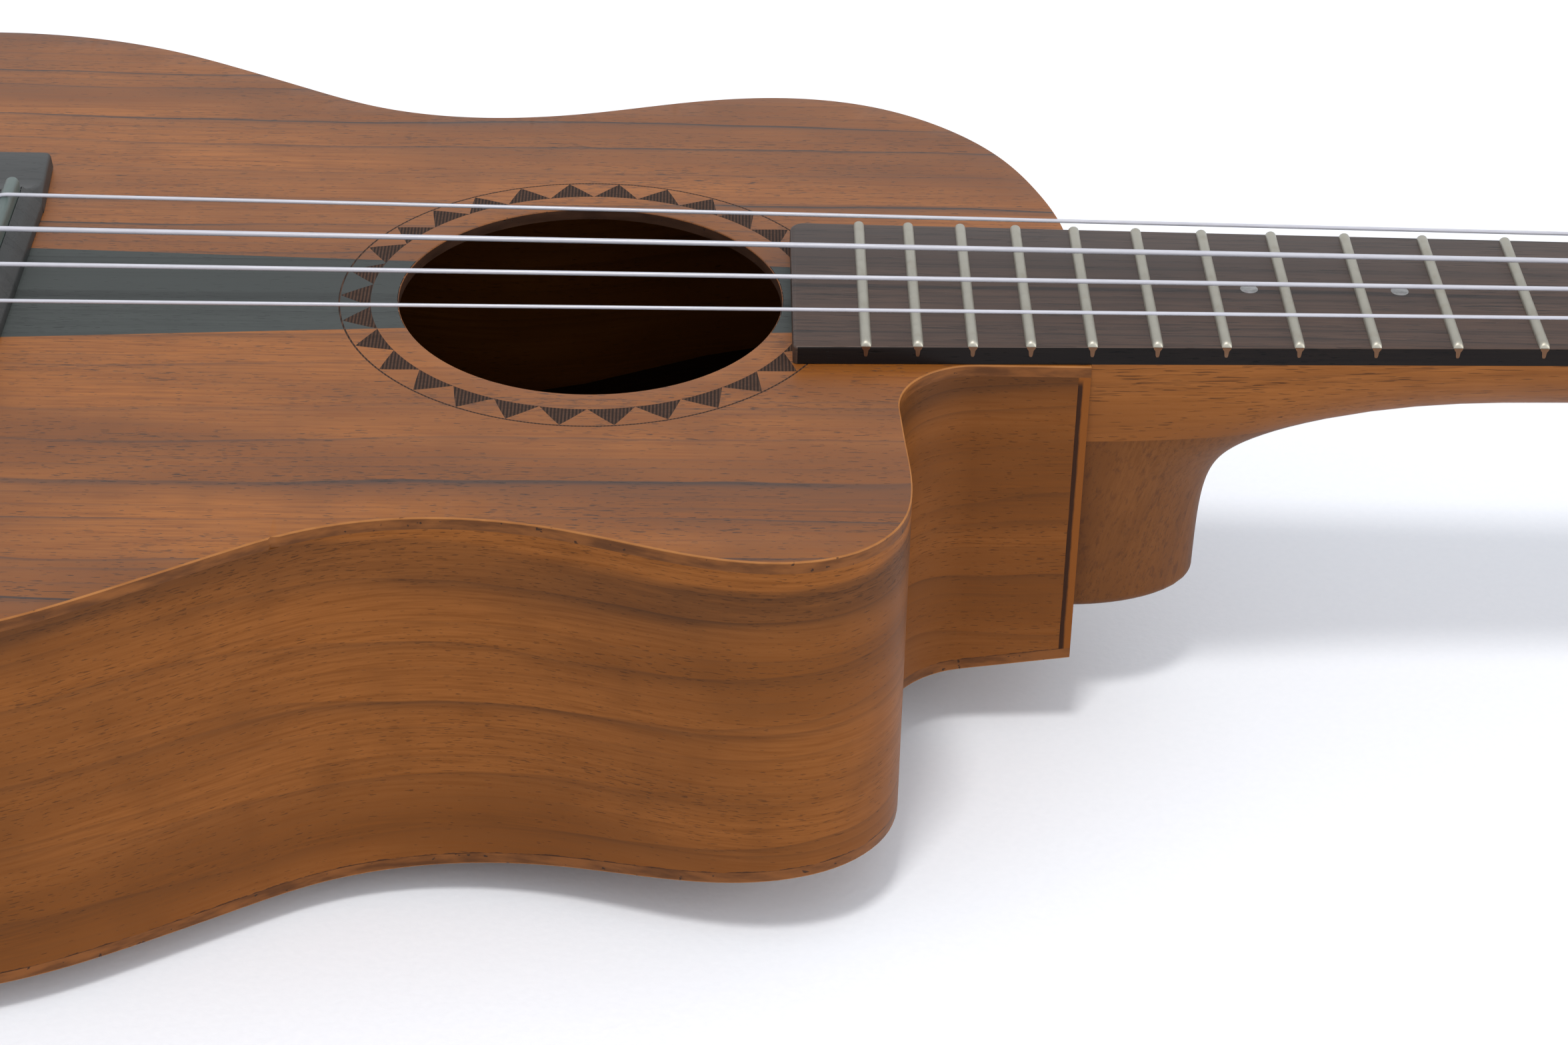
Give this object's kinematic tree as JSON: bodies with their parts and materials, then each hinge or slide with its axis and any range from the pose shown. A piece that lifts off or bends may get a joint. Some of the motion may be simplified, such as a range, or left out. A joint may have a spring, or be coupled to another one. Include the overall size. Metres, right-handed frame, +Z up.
{
  "type": "tenor cutaway ukulele",
  "caption": "Small waisted wooden lute with a cutaway, arched back, tie bridge, fretted neck and geared tuning machines.",
  "frame": {"origin": "under the middle of the whole instrument's bounding box, level with the lowest point of the arched back", "axes": "+X along the centre line from the tail to the headstock, +Y to the bass side, +Z up out of the soundboard"},
  "size_m": [0.6766, 0.2242, 0.0876],
  "materials": {
    "teak_top": "satin, open-pored teak",
    "teak_side": "satin, open-pored teak, bent to the rim",
    "teak_back": "satin, open-pored teak",
    "stained_inlay": "satin, stained grey-black",
    "mahogany_neck": "satin mahogany",
    "inner_wood": "unfinished",
    "brace_wood": "unfinished spruce",
    "dark_hardwood": "oiled, dark brown",
    "fret_metal": "polished nickel silver",
    "tuner_metal": "nickel plated",
    "bone": "polished bone",
    "nylon": "clear to milky nylon"
  },
  "bodies": {
    "instrument": {"soundboard": "teak_top", "back_plate": "teak_back", "side_bass": "teak_side", "side_treble": "teak_side", "headstock_veneer": "teak_top", "centre_stripe_lower": "stained_inlay", "centre_stripe_upper": "stained_inlay", "neck": "mahogany_neck", "heel": "mahogany_neck", "neck_block": "inner_wood", "tail_block": "inner_wood", "top_lining_bass": "inner_wood", "top_lining_treble": "inner_wood", "back_lining_bass": "inner_wood", "back_lining_treble": "inner_wood", "upper_brace": "brace_wood", "lower_brace": "brace_wood", "fan_brace_bass": "brace_wood", "fan_brace_treble": "brace_wood", "back_brace_upper": "brace_wood", "back_brace_lower": "brace_wood", "bridge_plate": "brace_wood", "fretboard": "dark_hardwood", "bridge": "dark_hardwood", "nut": "bone", "saddle": "bone", "fret_01": "fret_metal", "fret_02": "fret_metal", "fret_03": "fret_metal", "fret_04": "fret_metal", "fret_05": "fret_metal", "fret_06": "fret_metal", "fret_07": "fret_metal", "fret_08": "fret_metal", "fret_09": "fret_metal", "fret_10": "fret_metal", "fret_11": "fret_metal", "fret_12": "fret_metal", "fret_13": "fret_metal", "fret_14": "fret_metal", "fret_15": "fret_metal", "fret_16": "fret_metal", "fret_17": "fret_metal", "fret_18": "fret_metal", "string_G": "nylon", "tuner_G_housing": "tuner_metal", "string_C": "nylon", "tuner_C_housing": "tuner_metal", "string_E": "nylon", "tuner_E_housing": "tuner_metal", "string_A": "nylon", "tuner_A_housing": "tuner_metal"},
    "button_G": {"tuner_G_button": "tuner_metal"},
    "button_C": {"tuner_C_button": "tuner_metal"},
    "button_E": {"tuner_E_button": "tuner_metal"},
    "button_A": {"tuner_A_button": "tuner_metal"},
    "post_G": {"tuner_G_post": "tuner_metal"},
    "post_C": {"tuner_C_post": "tuner_metal"},
    "post_E": {"tuner_E_post": "tuner_metal"},
    "post_A": {"tuner_A_post": "tuner_metal"}
  },
  "joints": [
    {"name": "button_G_turn", "type": "hinge", "parent": "instrument", "child": "button_G", "pos_m": [0.25328, 0.017, 0.05201], "axis": [0, 1, 0], "continuous": true},
    {"name": "post_G_turn", "type": "hinge", "parent": "instrument", "child": "post_G", "pos_m": [0.24959, 0.017, 0.06997], "axis": [0.2079, 0, 0.9781], "continuous": true},
    {"name": "button_C_turn", "type": "hinge", "parent": "instrument", "child": "button_C", "pos_m": [0.29828, 0.019, 0.04244], "axis": [0, 1, 0], "continuous": true},
    {"name": "post_C_turn", "type": "hinge", "parent": "instrument", "child": "post_C", "pos_m": [0.29458, 0.019, 0.0604], "axis": [0.2079, 0, 0.9781], "continuous": true},
    {"name": "button_E_turn", "type": "hinge", "parent": "instrument", "child": "button_E", "pos_m": [0.2839, -0.019, 0.0455], "axis": [0, -1, 0], "continuous": true},
    {"name": "post_E_turn", "type": "hinge", "parent": "instrument", "child": "post_E", "pos_m": [0.29458, -0.019, 0.0604], "axis": [0.2079, 0, 0.9781], "continuous": true},
    {"name": "button_A_turn", "type": "hinge", "parent": "instrument", "child": "button_A", "pos_m": [0.23891, -0.017, 0.05506], "axis": [0, -1, 0], "continuous": true},
    {"name": "post_A_turn", "type": "hinge", "parent": "instrument", "child": "post_A", "pos_m": [0.24959, -0.017, 0.06997], "axis": [0.2079, 0, 0.9781], "continuous": true}
  ],
  "couplings": [
    {"joint": "post_G_turn", "follows": "button_G_turn", "ratio": -0.0625},
    {"joint": "post_C_turn", "follows": "button_C_turn", "ratio": -0.0625},
    {"joint": "post_E_turn", "follows": "button_E_turn", "ratio": -0.0625},
    {"joint": "post_A_turn", "follows": "button_A_turn", "ratio": -0.0625}
  ]
}
